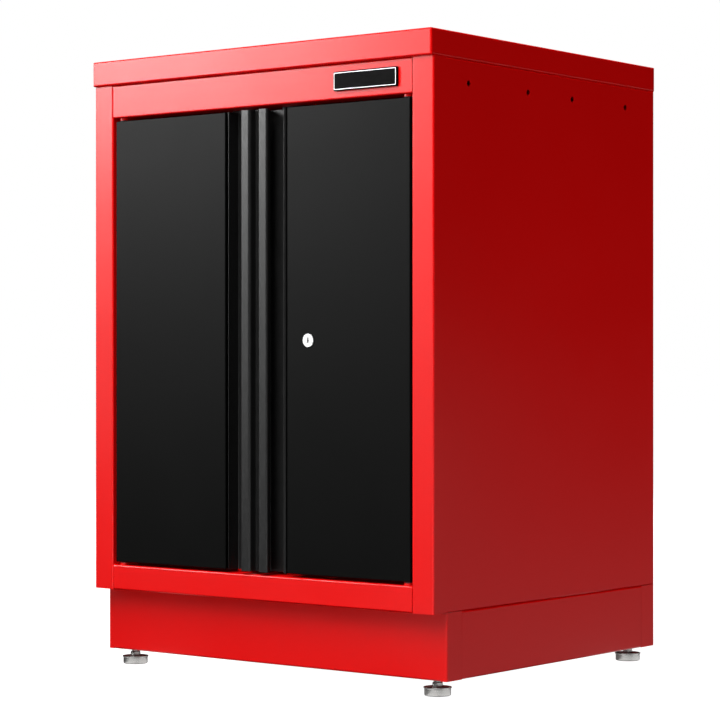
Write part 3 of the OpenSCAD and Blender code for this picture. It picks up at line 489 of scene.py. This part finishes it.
def stage_plane(name, low, high, z, emission, color):
    """A flat level rectangle of the stage."""
    mesh = bpy.data.meshes.new(name)
    corners = [(low[0], low[1], z), (high[0], low[1], z), (high[0], high[1], z), (low[0], high[1], z)]
    mesh.from_pydata(corners, [], [(0, 1, 2, 3)])
    plane = bpy.data.objects.new(name, mesh)
    bpy.context.scene.collection.objects.link(plane)
    shader = Shader(name, Roughness=1.0, Emission_Color=(1.0, 1.0, 1.0, 1.0), Emission_Strength=emission)
    shader.color(shader.noise(0.8), shades((color, color, color), 0.99, 1.0, 1.01))
    mesh.materials.append(shader.material)
    return plane


def stage_floor():
    """A white floor that shows no shadow, a dim card of painted shade beneath the cabinet, a dark card of
    painted shade inside the plinth, and pale cards by the feet seen only in reflections.
    """
    floor = stage_plane("floor", (-FLOOR_HALF, -FLOOR_HALF), (FLOOR_HALF, FLOOR_HALF), FLOOR_Z, 1.0, 0.3)
    hide_from(floor, "diffuse", "glossy")
    # Painted shade: a dim card, seen only in reflections and bounce light, standing in for the shaded floor
    # beneath the cabinet
    shade = stage_plane("shade", SHADE_LOW, SHADE_HIGH, SHADE_Z, 0.14, 0.05)
    hide_from(shade, "camera", "shadow")
    front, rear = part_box("plinth_front")[0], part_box("plinth_rear")[1]
    left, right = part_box("plinth_side_left")[0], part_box("plinth_side_right")[1]
    low, high = (left.x + INSIDE, front.y + INSIDE), (right.x - INSIDE, rear.y - INSIDE)
    # Painted shade: a dark card inside the plinth, seen only by the camera, so that the floor's white does not
    # show through seams and holes
    under = stage_plane("under", low, high, front.z + INSIDE, 0.004, 0.05)
    hide_from(under, "diffuse", "glossy", "shadow")
    for corner in CORNERS:
        low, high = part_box(f"foot_pad_{corner}")
        for side, near, far in (
            ("front", (low.x, low.y - CARD), (high.x + CARD / 2, low.y)),
            ("right", (high.x, low.y), (high.x + CARD, high.y + CARD / 2)),
        ):
            card = stage_plane(f"card_{side}_{corner}", near, far, CARD_Z, 0.9, 0.05)
            hide_from(card, "camera", "diffuse", "shadow")


def stage_world():
    """A white surround for the camera; the object meets a pale band below the horizon, mostly on the right."""
    world = bpy.data.worlds.new("studio")
    bpy.context.scene.world = world
    world.use_nodes = True
    tree = world.node_tree

    def mapped(value, start, end, low=0.0, high=1.0):
        node = tree.nodes.new("ShaderNodeMapRange")
        node.interpolation_type = "SMOOTHSTEP"
        for key, number in zip(("From Min", "From Max", "To Min", "To Max"), (start, end, low, high)):
            node.inputs[key].default_value = number
        tree.links.new(value, node.inputs["Value"])
        return node.outputs["Result"]

    def product(*factors):
        node = tree.nodes.new("ShaderNodeMath")
        node.operation = "MULTIPLY"
        for factor, socket in zip(factors, node.inputs):
            tree.links.new(factor, socket)
        return node.outputs["Value"]

    split = tree.nodes.new("ShaderNodeSeparateXYZ")
    tree.links.new(tree.nodes.new("ShaderNodeTexCoord").outputs["Generated"], split.inputs["Vector"])
    up, right = split.outputs["Z"], split.outputs["X"]
    band = product(mapped(up, -0.3, -0.02, GLOW, 0.0), mapped(up, -0.36, -0.16))
    level = tree.nodes.new("ShaderNodeMapRange")
    level.inputs["To Max"].default_value = SEEN_WHITE
    tree.links.new(tree.nodes.new("ShaderNodeLightPath").outputs["Is Camera Ray"], level.inputs["Value"])
    tree.links.new(product(band, mapped(right, -0.4, 0.4, 0.1, 1.0)), level.inputs["To Min"])
    background = tree.nodes["Background"]
    background.inputs["Color"].default_value = (1.0, 1.0, 1.0, 1.0)
    tree.links.new(level.outputs["Result"], background.inputs["Strength"])


def softbox(name, place, target, size, radiance, *unseen_by):
    """A rectangular area light aimed at a point, not seen by the camera itself."""
    light = bpy.data.lights.new(name, "AREA")
    light.shape = "RECTANGLE"
    light.size, light.size_y = size
    light.energy = radiance * math.pi * size[0] * size[1]
    lamp = bpy.data.objects.new(name, light)
    bpy.context.scene.collection.objects.link(lamp)
    lamp.location = place
    lamp.rotation_mode = "QUATERNION"
    lamp.rotation_quaternion = (Vector(target) - Vector(place)).to_track_quat("-Z", "Y")
    hide_from(lamp, "camera", *unseen_by)


stage_floor()
stage_world()
softbox("key", (-2.8, -2.62, 1.8), (0.0, -0.2, 0.7), (1.6, 1.3), 16.0, "diffuse")
softbox("panel", (-2.25, -2.95, 0.66), (0.0, -0.27, 0.5), (1.9, 1.0), 0.8)
softbox("front", (0.2, -4.0, 2.6), (0.0, -0.2, 0.4), (2.0, 1.6), 5.2, "glossy")
softbox("top", (0.1, -1.8, 3.3), (0.0, -0.27, 0.4), (2.0, 3.2), 9.0, "glossy")
softbox("low", (0.2, -3.3, 0.28), (0.0, -0.27, 0.3), (3.0, 0.5), 7.8, "glossy")
softbox("side", (1.9, 0.5, 0.22), (0.3, 0.0, 0.3), (1.6, 0.4), 5.2, "glossy")
softbox("sheen", (0.65, -2.0, 0.003), (0.65, -2.0, 1.0), (1.7, 2.6), 1.2, "diffuse")
softbox("rear", (-2.4, 3.4, 2.4), (0.0, 0.2, 0.4), (2.0, 1.6), 14.0, "glossy")
softbox("haze", (-2.0, 3.6, 2.2), (0.0, 0.2, 0.5), (3.0, 2.2), 1.1, "diffuse")

bpy.context.scene.view_settings.view_transform = "Standard"


# Camera, at the photograph's angle

CAMERA_AZIMUTH = 38.106
CAMERA_PLACE = (2.1487, -2.7781, 0.4426)
camera = bpy.data.objects.new("camera", bpy.data.cameras.new("camera"))
camera.data.lens = 120.0
camera.data.sensor_width = 36.0
camera.data.clip_end = 200.0
camera.location = CAMERA_PLACE
camera.rotation_euler = (math.radians(90), 0.0, math.radians(CAMERA_AZIMUTH))
bpy.context.scene.collection.objects.link(camera)
bpy.context.scene.camera = camera
